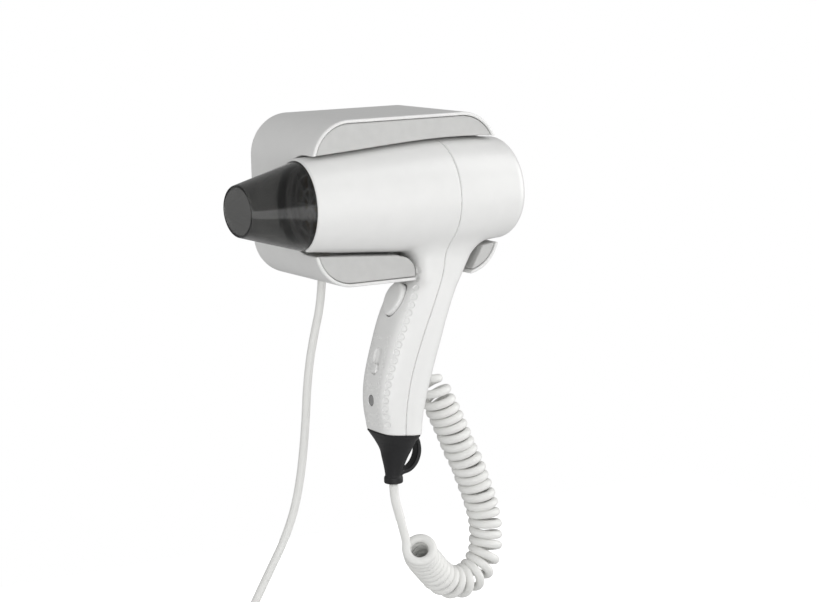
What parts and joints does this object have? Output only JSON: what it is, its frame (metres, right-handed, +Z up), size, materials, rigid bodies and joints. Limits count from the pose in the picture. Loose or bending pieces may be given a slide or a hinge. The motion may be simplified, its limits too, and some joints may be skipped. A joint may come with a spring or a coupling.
{
  "type": "wall mounted hair dryer",
  "caption": "Wall-mounted hair dryer: a pistol-grip dryer with an oval nozzle rests in a rounded wall holder, joined to it by a curly lead; a mains lead hangs below.",
  "frame": {"origin": "middle of the wall plate's back face, on the wall", "axes": "+Y into the wall, -Y out into the room, +Z up, +X to the right as seen from the room"},
  "size_m": [0.2231, 0.1212, 0.5186],
  "materials": {
    "white_plastic": "smooth satin-gloss moulded plastic, off-white",
    "grey_face": "fine matt moulded plastic, light warm grey",
    "smoked_plastic": "glossy see-through smoked plastic",
    "black_rubber": "matt black moulded rubber",
    "white_cord": "satin white flexible lead jacket",
    "grey_plastic": "mid grey moulded plastic",
    "dark_plastic": "dark grey moulded plastic",
    "steel": "zinc plated steel",
    "nickel": "bright nickel plate",
    "mica": "flaky mica sheet",
    "circuit_board": "green circuit board"
  },
  "bodies": {
    "holder": {"holder_shell": "white_plastic", "holder_liner": "grey_face", "wall_plate": "grey_plastic", "wall_screw_left": "steel", "wall_screw_right": "steel", "terminal_block": "white_cord", "mains_gland": "white_cord", "curly_gland": "white_cord", "mains_lead_inner": "white_cord", "curly_lead_inner": "white_cord", "mains_cord": "white_cord", "mains_coil": "white_cord", "coil_tie": "dark_plastic", "mains_tail": "white_cord", "plug_body": "white_cord", "plug_pin_left": "nickel", "plug_pin_right": "nickel", "curly_cord": "white_cord", "curly_lead_holder": "white_cord"},
    "dryer": {"front_housing": "white_plastic", "rear_housing": "white_plastic", "rear_grille": "dark_plastic", "outlet_grille": "dark_plastic", "heater_tube": "mica", "mica_cross": "mica", "heating_coil": "nickel", "thermostat": "steel", "motor": "steel", "motor_board": "circuit_board", "fan_duct": "dark_plastic", "screw_plug": "grey_plastic", "handle_screw": "steel", "push_switch": "dark_plastic", "slide_switch": "dark_plastic", "handle_clamp": "dark_plastic", "cord_guard": "black_rubber", "curly_lead_dryer": "white_cord"},
    "nozzle": {"nozzle": "smoked_plastic"},
    "fan": {"impeller": "dark_plastic", "motor_shaft": "steel"},
    "button": {"push_button": "white_plastic"},
    "knob": {"slide_knob": "white_plastic"}
  },
  "joints": [
    {"name": "dryer_lift_out", "type": "slide", "parent": "holder", "child": "dryer", "axis": [0, -1, 0], "range_m": [0, 0.1]},
    {"name": "nozzle_turn", "type": "hinge", "parent": "dryer", "child": "nozzle", "pos_m": [-0.08, -0.082, 0], "axis": [1, 0, 0], "continuous": true},
    {"name": "fan_spin", "type": "hinge", "parent": "dryer", "child": "fan", "pos_m": [0.05, -0.082, 0], "axis": [1, 0, 0], "continuous": true},
    {"name": "cool_button_press", "type": "slide", "parent": "dryer", "child": "button", "axis": [0.8899, 0, -0.4562], "range_m": [0, 0.0025], "stiffness_N_per_m": 400, "springref_m": -0.001},
    {"name": "speed_knob_slide", "type": "slide", "parent": "dryer", "child": "knob", "axis": [0.2799, 0, 0.96], "range_m": [0, 0.009]}
  ]
}
